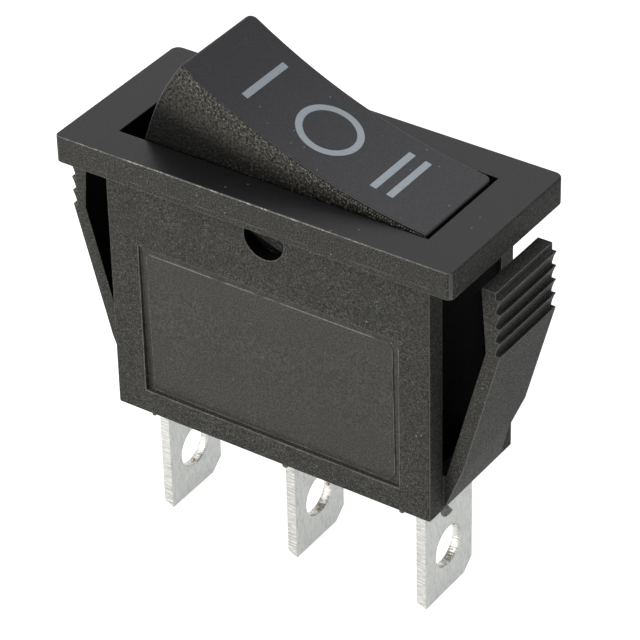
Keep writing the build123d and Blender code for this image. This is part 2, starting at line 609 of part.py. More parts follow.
def main():
    os.makedirs("parts", exist_ok=True)
    for name, shape in pieces().items():
        export_step(shape, f"parts/{name}.step")


main()
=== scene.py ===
import json
import math

import bmesh
import bpy
from bpy.props import FloatProperty, FloatVectorProperty, PointerProperty
from mathutils import Matrix, Vector


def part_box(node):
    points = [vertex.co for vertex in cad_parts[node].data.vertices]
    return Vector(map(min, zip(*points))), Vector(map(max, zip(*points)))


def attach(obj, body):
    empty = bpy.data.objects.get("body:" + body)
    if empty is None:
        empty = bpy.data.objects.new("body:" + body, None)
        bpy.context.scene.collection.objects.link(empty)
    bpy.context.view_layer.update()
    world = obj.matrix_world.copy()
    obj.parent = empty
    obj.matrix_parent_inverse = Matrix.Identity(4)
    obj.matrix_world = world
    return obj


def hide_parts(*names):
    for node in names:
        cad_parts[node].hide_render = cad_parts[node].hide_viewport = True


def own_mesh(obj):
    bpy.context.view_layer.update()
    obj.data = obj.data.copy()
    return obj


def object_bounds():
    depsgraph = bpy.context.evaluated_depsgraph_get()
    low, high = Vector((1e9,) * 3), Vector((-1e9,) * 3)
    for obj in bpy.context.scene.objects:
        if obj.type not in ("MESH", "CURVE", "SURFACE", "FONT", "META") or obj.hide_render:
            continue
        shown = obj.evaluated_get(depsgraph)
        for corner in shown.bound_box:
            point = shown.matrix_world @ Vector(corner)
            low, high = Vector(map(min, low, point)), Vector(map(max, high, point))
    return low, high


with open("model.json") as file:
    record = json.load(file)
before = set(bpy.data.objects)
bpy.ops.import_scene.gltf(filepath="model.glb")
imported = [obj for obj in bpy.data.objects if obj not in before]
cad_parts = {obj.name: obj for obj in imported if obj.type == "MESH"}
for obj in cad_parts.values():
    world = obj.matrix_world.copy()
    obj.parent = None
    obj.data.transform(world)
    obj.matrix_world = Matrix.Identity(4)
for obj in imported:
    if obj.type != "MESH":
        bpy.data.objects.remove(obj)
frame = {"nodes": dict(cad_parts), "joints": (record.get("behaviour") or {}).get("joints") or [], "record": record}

bl_info = {
    "name": "Panel rocker switch",
    "version": (1, 0, 0),
    "blender": (4, 5, 0),
    "location": "View3D > Sidebar > Switch",
    "description": "Dresses a snap-in rocker switch: moulded housing, printed rocker, tinned blades",
    "category": "Object",
}

MM = 0.001
CAD_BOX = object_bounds()
JOINTS = {joint["name"]: joint for joint in frame["joints"]}
PIVOT = Vector(JOINTS["rocker_tilt"]["pos_m"])
TILT = math.radians(JOINTS["rocker_tilt"]["range_deg"][1]) / 2
DISH_CENTRE = 48.75 * MM   # middle of the dished top's arc, above the pivot
DISH_RADIUS = 42.27 * MM
# Painted highlight lines along sharp lips, in mm: axis across, place, half width, axis along, start, end, share.
LIP_GLINTS = (("z", -6.54, 0.07, "x", -9.9, 9.9, 1.0),
        ("x", 9.93, 0.06, "z", -17.4, -6.6, 0.7),
        ("z", -18.07, 0.05, "x", -10.2, 10.5, 0.5),
        ("x", 10.5, 0.05, "z", -18.0, -6.4, 0.55),
        ("x", -10.5, 0.05, "z", -18.0, -6.2, 0.35),
        ("z", 0.42, 0.05, "x", -15.2, 15.2, 0.3),
        ("z", -1.05, 0.05, "x", -11.0, -5.0, 0.35))
LEVEL_TO_REST = Matrix.Translation(PIVOT) @ Matrix.Rotation(TILT, 4, "Y")


def level_box(node):
    """Corners of a CAD node turned back to where the rocker is level, seen from its pivot."""
    turn = LEVEL_TO_REST.inverted()
    points = [turn @ vertex.co for vertex in frame["nodes"][node].data.vertices]
    low = Vector([min(point[axis] for point in points) for axis in range(3)])
    high = Vector([max(point[axis] for point in points) for axis in range(3)])
    return low, high


# ---- properties ----------------------------------------------------------------------------------
def length(name, description, default):
    return FloatProperty(name=name, description=description, default=default, unit="LENGTH",
                         precision=6)


def colour(name, description, default):
    return FloatVectorProperty(name=name, description=description, default=default,
                               subtype="COLOR", size=3, min=0.0, max=1.0)


class SwitchSizes(bpy.types.PropertyGroup):
    housing_edge: length("Housing edge", "Radius that the mould leaves on the housing's edges", 0.05 * MM)
    rocker_edge: length("Rocker edge", "Radius on the rocker's lower edges", 0.05 * MM)
    blade_edge: length("Blade edge", "Rounding of the blades' stamped edges", 0.09 * MM)
    hole_edge: length("Hole edge", "Rounding that the punch leaves round the blades' holes", 0.2 * MM)
    dimple_drop: length("Dimple drop", "Middle of a blade's dimple below the body", 2.27 * MM)
    dimple_radius: length("Dimple radius", "Rim of a blade's dimple", 1.12 * MM)
    sheet_edge: length("Sheet edge", "Rounding of the small stampings", 0.04 * MM)
    body_front: length("Body front", "The body's front face, out from the middle", 5.2 * MM)
    cavity_end: length("Cavity end", "Inner end wall of the housing, out from the middle", 12.25 * MM)
    cavity_side: length("Cavity side", "Inner side wall of the housing, out from the middle", 4.26 * MM)
    pocket_end: length("Pocket end", "Outermost floor of the pockets behind the snap arms", 12.75 * MM)
    pocket_side: length("Pocket side", "Side of those pockets, out from the middle", 3.61 * MM)
    ink: length("Ink", "Thickness of the printed marks", 0.012 * MM)
    bar_width: length("Bar width", "Width of a printed bar", 0.515 * MM)
    bar_length: length("Bar length", "Length of a printed bar", 4.73 * MM)
    bar_drift: length("Bar drift", "How far the bars sit towards the back of the rocker", 0.12 * MM)
    first_bar: length("First bar", "Place of the I along the rocker", -5.83 * MM)
    second_bars: length("Second bars", "Place of the middle of the II along the rocker", 5.40 * MM)
    bar_pitch: length("Bar pitch", "Distance between the bars of the II", 1.28 * MM)
    ring_radius: length("Ring radius", "Outer radius of the O", 2.36 * MM)
    ring_line: length("Ring line", "Line width of the O", 0.5 * MM)
    ring_place: length("Ring place", "Place of the O along the rocker", -0.33 * MM)
    ring_drift: length("Ring drift", "How far the O sits towards the back", 0.11 * MM)


class SwitchFinish(bpy.types.PropertyGroup):
    housing: colour("Housing", "Black nylon of the housing", (0.063, 0.0625, 0.0585))
    satin: colour("Satin tops", "Black nylon where the mould was polished", (0.010, 0.010, 0.0115))
    side: colour("Rocker sides", "Black nylon of the rocker's coarse sides", (0.030, 0.029, 0.0255))
    # Painted shade: near-black colour laid where shade falls deep in the housing and on the rocker's pin flanks.
    shade: colour("Inside", "Painted shade inside the housing", (0.004, 0.004, 0.004))
    # Pale colour for rubbed edges, dust and specks; along the edges it also paints highlights.
    worn_and_glint: colour("Worn edge and glint", "Pale plastic of rubbed edges and painted edge highlights", (0.36, 0.345, 0.315))
    # Painted highlight: the glint along the bezel's top front edge.
    bright: colour("Front edge glint", "Painted highlight along the bezel's front edge", (0.62, 0.56, 0.54))
    ink: colour("Ink", "Pale grey of the printed marks", (0.48, 0.54, 0.60))
    plating: colour("Plating", "Tin over brass", (0.445, 0.455, 0.44))
    sheared: colour("Sheared edge", "Cut side of the sheet", (0.68, 0.675, 0.645))
    # Painted shade: the dark floor of each blade's dimple and the flank that faces away from the light.
    dimple_shade: colour("Dimple shade", "Dark bottom of the blades' dimples", (0.13, 0.125, 0.12))
    burr: colour("Burr", "Torn metal in the punched holes", (0.42, 0.36, 0.29))
    brass: colour("Brass", "Strip of the lever", (0.78, 0.58, 0.28))
    silver: colour("Contact silver", "Riveted contacts", (0.82, 0.81, 0.78))
    steel: colour("Spring steel", "Bright wire", (0.58, 0.58, 0.58))
    acetal: colour("Acetal", "Natural plunger plastic", (0.80, 0.79, 0.74))
    grain: length("Grain", "Size of the mould's spark texture", 0.12 * MM)
    coarse_grain: length("Coarse grain", "Size of the texture on the rocker's sides", 0.2 * MM)


class SwitchStage(bpy.types.PropertyGroup):
    azimuth: FloatProperty(name="Azimuth", description="Camera's turn about the switch",
                           default=math.radians(34.81), subtype="ANGLE")
    elevation: FloatProperty(name="Elevation", description="Camera's height over the horizon",
                             default=math.radians(34.80), subtype="ANGLE")
    roll: FloatProperty(name="Roll", description="Camera's turn about its own axis",
                        default=math.radians(-1.41), subtype="ANGLE")
    distance: length("Distance", "Camera to the point that it looks at", 240.3 * MM)
    aim: FloatVectorProperty(name="Aim", description="Point that the camera looks at",
                             default=(3.49 * MM, -3.93 * MM, -7.65 * MM), subtype="XYZ", unit="LENGTH")
    lens: FloatProperty(name="Lens", description="Focal length in millimetres", default=204.12)
    key: FloatProperty(name="Key", description="Power of the front lamp", default=1.5, unit="POWER")
    top: FloatProperty(name="Top", description="Power of the overhead lamp", default=0.6, unit="POWER")
    rim: FloatProperty(name="Rim", description="Power of the small lamp for the edges", default=0.2,
                       unit="POWER")
    sky: FloatProperty(name="Sky", description="Strength of the even light from all round", default=0.14)
    floor: colour("Floor", "Pale floor", (0.72, 0.72, 0.72))


# ---- modelling helpers ---------------------------------------------------------------------------
def only(piece):
    """Select one object and nothing else."""
    if bpy.context.object and bpy.context.object.mode != "OBJECT":
        bpy.ops.object.mode_set(mode="OBJECT")
    bpy.ops.object.select_all(action="DESELECT")
    piece.select_set(True)
    bpy.context.view_layer.objects.active = piece


def new_piece(name, add, **where):
    """Add a primitive, named and alone in the selection."""
    bpy.ops.object.select_all(action="DESELECT")
    add(**where)
    piece = bpy.context.object
    piece.name = name
    piece.data.name = name
    only(piece)
    return piece


def finish_with(piece, kind, **settings):
    """Add a modifier with these settings and apply it."""
    only(piece)
    modifier = piece.modifiers.new(kind.title(), kind)
    for key, value in settings.items():
        setattr(modifier, key, value)
    bpy.ops.object.modifier_apply(modifier=modifier.name)


def smooth(piece, angle):
    only(piece)
    bpy.ops.object.shade_smooth_by_angle(angle=math.radians(angle))


def settle(piece, body, slot, *nodes):
    """Bring the piece's place into its mesh, tie it to its body, and hide the CAD nodes that it replaces. The slot
    is not used.
    """
    only(piece)
    bpy.ops.object.transform_apply(location=True, rotation=True, scale=True)
    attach(piece, body)
    if nodes:
        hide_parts(*nodes)


MERGE = 0.002 * MM
FLAT = math.radians(0.3)
SHARP = math.radians(38)
SMOOTH_ANGLE = 40


def mark_edges(mesh, width, share):
    """Mark the sharp edges that have room for a rounding of their share of this width."""
    shape = bmesh.new()
    shape.from_mesh(mesh)
    weight = shape.edges.layers.float.new("bevel_weight_edge")
    for edge in shape.edges:
        part = share((edge.verts[0].co + edge.verts[1].co) / 2)
        span = edge.calc_length()
        roomy = span > 2 * min(part, 0.5) * width and all(
            face.calc_area() > 2.5 * part * width * span for face in edge.link_faces)
        edge[weight] = part if roomy and edge.calc_face_angle(0.0) > SHARP else 0.0
    shape.to_mesh(mesh)
    shape.free()


def dressed_copy(node, name, edge, materials, rules=(), rubbed_and_glint=-1, late_rules=(),
                 share=lambda place: 1.0):
    """A copy of a CAD node as a clean mesh with its materials, whose sharp edges are rounded."""
    source = frame["nodes"][node]
    piece = bpy.data.objects.new(name, source.data.copy())
    piece.data.name = name
    piece.data.materials.clear()
    bpy.context.scene.collection.objects.link(piece)
    only(piece)
    bpy.ops.object.mode_set(mode="EDIT")
    bpy.ops.mesh.select_all(action="SELECT")
    bpy.ops.mesh.customdata_custom_splitnormals_clear()
    bpy.ops.mesh.remove_doubles(threshold=MERGE)
    bpy.ops.mesh.dissolve_limited(angle_limit=FLAT)
    bpy.ops.object.mode_set(mode="OBJECT")
    give(piece, *materials)
    for slot_index, chosen in rules:
        assign_faces(piece, slot_index, chosen)
    mark_edges(piece.data, edge, share)
    finish_with(piece, "BEVEL", width=edge, segments=2, limit_method="WEIGHT", material=rubbed_and_glint,
                use_clamp_overlap=False, miter_outer="MITER_SHARP")
    for slot_index, chosen in late_rules:
        assign_faces(piece, slot_index, chosen)
    finish_with(piece, "TRIANGULATE")
    smooth(piece, SMOOTH_ANGLE)
    finish_with(piece, "WEIGHTED_NORMAL", mode="FACE_AREA", weight=50, keep_sharp=True)
    return piece


def assign_faces(piece, slot_index, chosen):
    """Give the faces that pass the test this material slot."""
    for face in piece.data.polygons:
        if chosen(face):
            face.material_index = slot_index


# ---- shader node groups --------------------------------------------------------------------------
def new_group(name, inputs, outputs):
    group = bpy.data.node_groups.new(name, "ShaderNodeTree")
    for label, kind, default in inputs:
        socket = group.interface.new_socket(label, in_out="INPUT", socket_type=kind)
        socket.default_value = default
    for label, kind in outputs:
        group.interface.new_socket(label, in_out="OUTPUT", socket_type=kind)
    return group, group.nodes.new("NodeGroupInput"), group.nodes.new("NodeGroupOutput")


def math_node(tree, operation, first, second, clamp=False):
    node = tree.nodes.new("ShaderNodeMath")
    node.operation = operation
    node.use_clamp = clamp
    for socket, value in zip(node.inputs, (first, second)):
        if isinstance(value, (int, float)):
            socket.default_value = value
        else:
            tree.links.new(value, socket)
    return node.outputs[0]


def noise(tree, vector, scale, detail=2.0, roughness=0.5):
    node = tree.nodes.new("ShaderNodeTexNoise")
    node.inputs["Detail"].default_value = detail
    node.inputs["Roughness"].default_value = roughness
    tree.links.new(vector, node.inputs["Vector"])
    if isinstance(scale, (int, float)):
        node.inputs["Scale"].default_value = scale
    else:
        tree.links.new(scale, node.inputs["Scale"])
    return node.outputs["Fac"]


def band(tree, value, low, high):
    """0 below low, 1 above high, smooth between."""
    node = tree.nodes.new("ShaderNodeMapRange")
    node.interpolation_type = "SMOOTHSTEP"
    node.inputs["From Min"].default_value = low
    node.inputs["From Max"].default_value = high
    tree.links.new(value, node.inputs["Value"])
    return node.outputs["Result"]


def away_from(tree, value, place):
    """How far a value is from a place, either way."""
    return math_node(tree, "ABSOLUTE", math_node(tree, "SUBTRACT", value, place), 0.0)


def object_place(tree):
    return tree.nodes.new("ShaderNodeTexCoord").outputs["Object"]


def grain_group():
    """Spark-eroded mould texture: height, tone, the bright specks, the pits and a wide cloud."""
    group, given, made = new_group("Mould grain", [("Size", "NodeSocketFloat", 0.1 * MM)],
                                   [("Height", "NodeSocketFloat"), ("Tone", "NodeSocketFloat"),
                                    ("Specks", "NodeSocketFloat"), ("Pits", "NodeSocketFloat"),
                                    ("Dust", "NodeSocketFloat"), ("Cloud", "NodeSocketFloat")])
    place = object_place(group)
    scale = math_node(group, "DIVIDE", 1.0, given.outputs["Size"])
    fine = noise(group, place, scale, detail=4.0, roughness=0.75)
    cells = group.nodes.new("ShaderNodeTexVoronoi")
    group.links.new(place, cells.inputs["Vector"])
    group.links.new(math_node(group, "MULTIPLY", scale, 0.8), cells.inputs["Scale"])
    bumps = band(group, cells.outputs["Distance"], 0.1, 0.7)
    height = math_node(group, "ADD", fine, math_node(group, "MULTIPLY", bumps, 0.4))
    group.links.new(height, made.inputs["Height"])
    group.links.new(band(group, fine, 0.41, 0.59), made.inputs["Tone"])
    dots = band(group, cells.outputs["Distance"], 0.36, 0.18)
    chosen = math_node(group, "MULTIPLY", dots, band(group, fine, 0.5, 0.57))
    group.links.new(chosen, made.inputs["Specks"])
    group.links.new(band(group, fine, 0.44, 0.38), made.inputs["Pits"])
    motes = group.nodes.new("ShaderNodeTexVoronoi")
    group.links.new(place, motes.inputs["Vector"])
    motes.inputs["Scale"].default_value = 1 / (1.3 * MM)
    group.links.new(band(group, motes.outputs["Distance"], 0.06, 0.03), made.inputs["Dust"])
    wide = noise(group, place, math_node(group, "MULTIPLY", scale, 0.05), detail=3.0)
    group.links.new(band(group, wide, 0.3, 0.7), made.inputs["Cloud"])
    return group


def wear_and_glint_group():
    """Rounds the edges for the light, and masks where they are rubbed pale and painted with a highlight, in broken
    patches.
    """
    group, given, made = new_group("Edge wear and glint", [("Radius", "NodeSocketFloat", 0.1 * MM),
                                                 ("Breakup", "NodeSocketFloat", 0.3 * MM)],
                                   [("Mask", "NodeSocketFloat"), ("Normal", "NodeSocketVector")])
    rounded = group.nodes.new("ShaderNodeBevel")
    rounded.samples = 8
    group.links.new(given.outputs["Radius"], rounded.inputs["Radius"])
    geometry = group.nodes.new("ShaderNodeNewGeometry")
    dot = group.nodes.new("ShaderNodeVectorMath")
    dot.operation = "DOT_PRODUCT"
    group.links.new(rounded.outputs["Normal"], dot.inputs[0])
    group.links.new(geometry.outputs["True Normal"], dot.inputs[1])
    turned = math_node(group, "SUBTRACT", 1.0, dot.outputs["Value"])
    place = object_place(group)
    scale = math_node(group, "DIVIDE", 1.0, given.outputs["Breakup"])
    patchy = band(group, noise(group, place, scale, detail=5.0, roughness=0.65), 0.42, 0.66)
    mask = math_node(group, "MULTIPLY", band(group, turned, 0.03, 0.22), patchy)
    group.links.new(mask, made.inputs["Mask"])
    group.links.new(rounded.outputs["Normal"], made.inputs["Normal"])
    return group


def lip_glint_group():
    """Painted highlights: fine pale lines where the mould's parting and the label recess leave a sharp lip."""
    group, _, made = new_group("Painted lip glints", [], [("Mask", "NodeSocketFloat")])
    place = object_place(group)
    parts = group.nodes.new("ShaderNodeSeparateXYZ")
    group.links.new(place, parts.inputs["Vector"])
    x, y, z = (parts.outputs[axis] for axis in "XYZ")
    total = None
    for across, at, half, along, start, end, share in LIP_GLINTS:
        across, along = {"x": x, "z": z}[across], {"x": x, "z": z}[along]
        away = away_from(group, across, at * MM)
        line = band(group, away, half * MM, 0.3 * half * MM)
        for edge, side in ((start, 1), (end, -1)):
            inside = band(group, along, edge * MM, (edge + 0.1 * side) * MM)
            line = math_node(group, "MULTIPLY", line, inside)
        line = math_node(group, "MULTIPLY", line, share)
        total = line if total is None else math_node(group, "MAXIMUM", total, line)
    front = math_node(group, "LESS_THAN", y, -4.7 * MM)
    wide = band(group, noise(group, place, 1 / (1.6 * MM), detail=4.0), 0.36, 0.56)
    fine = band(group, noise(group, place, 1 / (0.14 * MM), detail=3.0, roughness=0.7), 0.3, 0.55)
    broken = math_node(group, "MULTIPLY", wide, fine)
    group.links.new(math_node(group, "MULTIPLY", math_node(group, "MULTIPLY", total, front), broken),
                    made.inputs["Mask"])
    return group


def level_group():
    """The rocker's own frame: place along it, and depth below the edge of its dished top."""
    group, _, made = new_group("Rocker place", [], [("Along", "NodeSocketFloat"),
                                                    ("Depth", "NodeSocketFloat")])
    turned = group.nodes.new("ShaderNodeMapping")
    turned.vector_type = "TEXTURE"
    turned.inputs["Location"].default_value = PIVOT
    turned.inputs["Rotation"].default_value = (0.0, TILT, 0.0)
    group.links.new(object_place(group), turned.inputs["Vector"])
    parts = group.nodes.new("ShaderNodeSeparateXYZ")
    group.links.new(turned.outputs["Vector"], parts.inputs["Vector"])
    fall = math_node(group, "SUBTRACT", DISH_CENTRE, parts.outputs["Z"])
    reach = math_node(group, "SQRT", math_node(group, "ADD", math_node(group, "MULTIPLY", fall, fall),
                                               math_node(group, "MULTIPLY", parts.outputs["X"],
                                                         parts.outputs["X"])), 0.0)
    group.links.new(parts.outputs["X"], made.inputs["Along"])
    group.links.new(math_node(group, "SUBTRACT", reach, DISH_RADIUS), made.inputs["Depth"])
    return group


def streak_group():
    """Fine lines that run one way, as rolling, drawing or shearing leaves them."""
    group, given, made = new_group("Streaks", [("Stretch", "NodeSocketVector", (1.0, 1.0, 1.0)),
                                               ("Size", "NodeSocketFloat", 0.1 * MM)],
                                   [("Height", "NodeSocketFloat")])
    squeezed = group.nodes.new("ShaderNodeVectorMath")
    squeezed.operation = "MULTIPLY"
    group.links.new(object_place(group), squeezed.inputs[0])
    group.links.new(given.outputs["Stretch"], squeezed.inputs[1])
    scale = math_node(group, "DIVIDE", 1.0, given.outputs["Size"])
    lines = noise(group, squeezed.outputs["Vector"], scale, detail=4.0, roughness=0.6)
    group.links.new(lines, made.inputs["Height"])
    return group


GROUPS = {}


def build_groups():
    GROUPS["grain"] = grain_group()
    GROUPS["wear_and_glint"] = wear_and_glint_group()
    GROUPS["streaks"] = streak_group()
    GROUPS["level"] = level_group()
    GROUPS["lip_glints"] = lip_glint_group()


# ---- materials -----------------------------------------------------------------------------------
def place_group(tree, name, **values):
    node = tree.nodes.new("ShaderNodeGroup")
    node.node_tree = GROUPS[name]
    for label, value in values.items():
        node.inputs[label].default_value = value
    return node


def mix_colour(tree, factor, first, second):
    node = tree.nodes.new("ShaderNodeMix")
    node.data_type = "RGBA"
    tree.links.new(factor, node.inputs["Factor"])
    for socket, value in ((node.inputs[6], first), (node.inputs[7], second)):
        if isinstance(value, bpy.types.NodeSocket):
            tree.links.new(value, socket)
        else:
            socket.default_value = (*value, 1.0)
    return node.outputs[2]


def mix_value(tree, factor, first, second):
    node = tree.nodes.new("ShaderNodeMapRange")
    node.inputs["To Min"].default_value = first
    node.inputs["To Max"].default_value = second
    tree.links.new(factor, node.inputs["Value"])
    return node.outputs["Result"]


def bump(tree, height, depth, normal=None):
    node = tree.nodes.new("ShaderNodeBump")
    node.inputs["Distance"].default_value = depth
    node.inputs["Strength"].default_value = 1.0
    tree.links.new(height, node.inputs["Height"])
    if normal is not None:
        tree.links.new(normal, node.inputs["Normal"])
    return node.outputs["Normal"]


def principled(name, **constants):
    """A material with one Principled shader. Constants sit on its own sockets."""
    material = bpy.data.materials.new(name)
    material.use_nodes = True
    tree = material.node_tree
    shader = tree.nodes["Principled BSDF"]
    for label, value in constants.items():
        shader.inputs[label].default_value = value
    return material, tree, shader


def scaled(rgb, factor):
    return [min(1.0, channel * factor) for channel in rgb]


def moulded_plastic(name, rgb, worn_and_glint, grain, depth, rough, gloss=0.3, contrast=0.35, specks=1.6,
                    edge_radius=0.12 * MM, wear_and_glint=1.0, dust=0.0, pits=0.0, lip_glints=0.0):
    """Nylon from a textured mould: grain in colour, gloss and height, and pale edges, rubbed and partly a painted
    highlight.
    """
    material, tree, shader = principled(name, **{"IOR": 1.5, "Specular IOR Level": gloss})
    texture = place_group(tree, "grain", Size=grain)
    edges = place_group(tree, "wear_and_glint", Radius=edge_radius)
    toned = mix_colour(tree, texture.outputs["Tone"], scaled(rgb, 1 - contrast),
                       scaled(rgb, 1 + contrast))
    pitted = mix_colour(tree, math_node(tree, "MULTIPLY", texture.outputs["Pits"], pits), toned,
                        scaled(rgb, 0.3))
    speckled = mix_colour(tree, texture.outputs["Specks"], pitted, scaled(rgb, specks))
    clouded = mix_colour(tree, mix_value(tree, texture.outputs["Cloud"], 0.0, 0.35), speckled,
                         scaled(rgb, 0.85))
    # Edges turn pale where rubbed and where a highlight is painted on them.
    rub_and_glint = math_node(tree, "MULTIPLY", edges.outputs["Mask"], wear_and_glint)
    motes = math_node(tree, "MULTIPLY", texture.outputs["Dust"], dust)
    pale = math_node(tree, "MAXIMUM", rub_and_glint, motes)
    # Painted highlights along the sharp lips.
    if lip_glints:
        lines = place_group(tree, "lip_glints").outputs["Mask"]
        pale = math_node(tree, "MAXIMUM", pale, math_node(tree, "MULTIPLY", lines, lip_glints))
    tree.links.new(mix_colour(tree, pale, clouded, worn_and_glint), shader.inputs["Base Color"])
    tree.links.new(mix_value(tree, texture.outputs["Tone"], rough + 0.06, rough - 0.06),
                   shader.inputs["Roughness"])
    tree.links.new(bump(tree, texture.outputs["Height"], depth, edges.outputs["Normal"]),
                   shader.inputs["Normal"])
    return material


def rubbed_and_glint_edge(name, rgb, worn_and_glint, share, start, end):
    """A moulded edge rubbed pale and painted with a highlight in broken patches, more towards the start than the
    end.
    """
    material, tree, shader = principled(name, **{"IOR": 1.5, "Specular IOR Level": 0.4})
    place = object_place(tree)
    patchy = band(tree, noise(tree, place, 1 / (0.9 * MM), detail=6.0, roughness=0.7), 0.4, 0.64)
    fine = band(tree, noise(tree, place, 1 / (0.12 * MM), detail=3.0, roughness=0.7), 0.36, 0.56)
    parts = tree.nodes.new("ShaderNodeSeparateXYZ")
    tree.links.new(place, parts.inputs["Vector"])
    faded = mix_value(tree, band(tree, parts.outputs["X"], start, end), share, 0.3 * share)
    mask = math_node(tree, "MULTIPLY", math_node(tree, "MULTIPLY", patchy, fine), faded)
    tree.links.new(mix_colour(tree, mask, scaled(rgb, 1.3), worn_and_glint), shader.inputs["Base Color"])
    tree.links.new(mix_value(tree, fine, 0.5, 0.32), shader.inputs["Roughness"])
    tree.links.new(bump(tree, fine, 0.008 * MM), shader.inputs["Normal"])
    return material


STITCH_PITCH = 0.21 * MM                            # short marks under the rocker's top edge
STITCH_ROWS = ((0.26 * MM, 0.0), (0.48 * MM, 0.5))  # their depth below it, and shift in pitches


def coarse_side(name, rgb, worn_and_glint, grain, depth):
    """The rocker's eroded sides: pale specks and pits, painted shade that darkens the side and thins the specks
    low down, a painted shade line just under the top edge, and marks along the top edge.
    """
    material, tree, shader = principled(name, **{"IOR": 1.5, "Specular IOR Level": 0.15})
    texture = place_group(tree, "grain", Size=grain)
    edges = place_group(tree, "wear_and_glint", Radius=0.1 * MM)
    level = place_group(tree, "level")
    along, deep = level.outputs["Along"], level.outputs["Depth"]
    toned = mix_colour(tree, texture.outputs["Tone"], scaled(rgb, 0.35), scaled(rgb, 2.8))
    pitted = mix_colour(tree, texture.outputs["Pits"], toned, scaled(rgb, 0.08))
    # Painted shade: darker and with fewer specks lower down the side, sooner towards the II end.
    drift = math_node(tree, "ADD", deep, math_node(tree, "MULTIPLY", along, 0.25))
    painted_shade = mix_value(tree, band(tree, drift, 0.3 * MM, 2.4 * MM), 0.0, 0.97)
    low = mix_colour(tree, painted_shade, pitted, scaled(rgb, 0.05))
    rough = noise(tree, object_place(tree), 1 / (0.21 * MM), detail=5.0, roughness=0.8)
    amount = math_node(tree, "MAXIMUM", mix_value(tree, band(tree, along, -9 * MM, 7 * MM), 0.16, 0.8),
                       mix_value(tree, band(tree, deep, 0.3 * MM, 2.8 * MM), 1.0, 0.12))
    fewer = math_node(tree, "MULTIPLY", amount, mix_value(tree, painted_shade, 1.0, 0.35))
    flecks = math_node(tree, "MULTIPLY", band(tree, rough, 0.53, 0.6), fewer)
    flecked = mix_colour(tree, flecks, low, scaled(worn_and_glint, 0.85))
    # Painted shade: a thin dark line just under the top edge.
    edge_shade = band(tree, away_from(tree, deep, 0.11 * MM), 0.09 * MM, 0.04 * MM)
    edge_shaded = mix_colour(tree, mix_value(tree, edge_shade, 0.0, 0.7), flecked, scaled(rgb, 0.1))
    stitches = None
    for row, shift in STITCH_ROWS:
        inside = band(tree, away_from(tree, deep, row), 0.09 * MM, 0.03 * MM)
        turns = math_node(tree, "MULTIPLY", along, 2 * math.pi / STITCH_PITCH)
        wave = math_node(tree, "SINE", math_node(tree, "ADD", turns, shift * 2 * math.pi), 0.0)
        dashes = math_node(tree, "MULTIPLY", inside, band(tree, wave, 0.0, 0.7))
        stitches = dashes if stitches is None else math_node(tree, "MAXIMUM", stitches, dashes)
    fade = mix_value(tree, band(tree, along, -8 * MM, 6 * MM), 0.12, 0.8)
    broken = math_node(tree, "MULTIPLY", math_node(tree, "MULTIPLY", stitches, fade),
                       mix_value(tree, texture.outputs["Tone"], 0.0, 1.0))
    stitched = mix_colour(tree, broken, edge_shaded, scaled(worn_and_glint, 0.9))
    # Faintly pale edges: rubbed, and partly a painted highlight.
    rub_and_glint = math_node(tree, "MULTIPLY", edges.outputs["Mask"], 0.1)
    tree.links.new(mix_colour(tree, rub_and_glint, stitched, worn_and_glint), shader.inputs["Base Color"])
    tree.links.new(mix_value(tree, texture.outputs["Tone"], 0.6, 0.45), shader.inputs["Roughness"])
    tree.links.new(bump(tree, texture.outputs["Height"], depth, edges.outputs["Normal"]),
                   shader.inputs["Normal"])
    return material


def printed_ink(name, rgb):
    material, tree, shader = principled(name, **{"IOR": 1.45})
    texture = place_group(tree, "grain", Size=0.16 * MM)
    mottled = mix_colour(tree, texture.outputs["Specks"], rgb, scaled(rgb, 0.72))
    tree.links.new(mottled, shader.inputs["Base Color"])
    tree.links.new(mix_value(tree, texture.outputs["Cloud"], 0.45, 0.6), shader.inputs["Roughness"])
    tree.links.new(bump(tree, texture.outputs["Height"], 0.003 * MM), shader.inputs["Normal"])
    return material


def metal(name, rgb, stretch, size, rough, depth, dull=0.8, stains=0.0):
    """Sheet, wire or rivet metal with fine streaks, a slightly dulled bloom and small stains."""
    material, tree, shader = principled(name, **{"Metallic": 1.0})
    streaks = place_group(tree, "streaks", Stretch=stretch, Size=size)
    texture = place_group(tree, "grain", Size=0.3 * MM)
    lines = band(tree, streaks.outputs["Height"], 0.32, 0.68)
    base = mix_colour(tree, lines, scaled(rgb, dull), scaled(rgb, 1.15))
    bloom = mix_value(tree, texture.outputs["Cloud"], 0.0, 0.5)
    cloudy = mix_colour(tree, bloom, base, scaled(rgb, 1.06))
    stained = math_node(tree, "MULTIPLY", texture.outputs["Pits"], stains)
    tree.links.new(mix_colour(tree, stained, cloudy, scaled(rgb, 0.45)), shader.inputs["Base Color"])
    tree.links.new(mix_value(tree, lines, rough + 0.08, rough - 0.06), shader.inputs["Roughness"])
    tree.links.new(bump(tree, streaks.outputs["Height"], depth), shader.inputs["Normal"])
    return material


def natural_acetal(name, rgb):
    material, tree, shader = principled(name, **{"IOR": 1.48, "Subsurface Weight": 0.2,
                                                 "Subsurface Scale": 0.5 * MM})
    texture = place_group(tree, "grain", Size=0.2 * MM)
    tree.links.new(mix_colour(tree, texture.outputs["Cloud"], scaled(rgb, 0.93), rgb),
                   shader.inputs["Base Color"])
    tree.links.new(mix_value(tree, texture.outputs["Cloud"], 0.25, 0.4), shader.inputs["Roughness"])
    return material


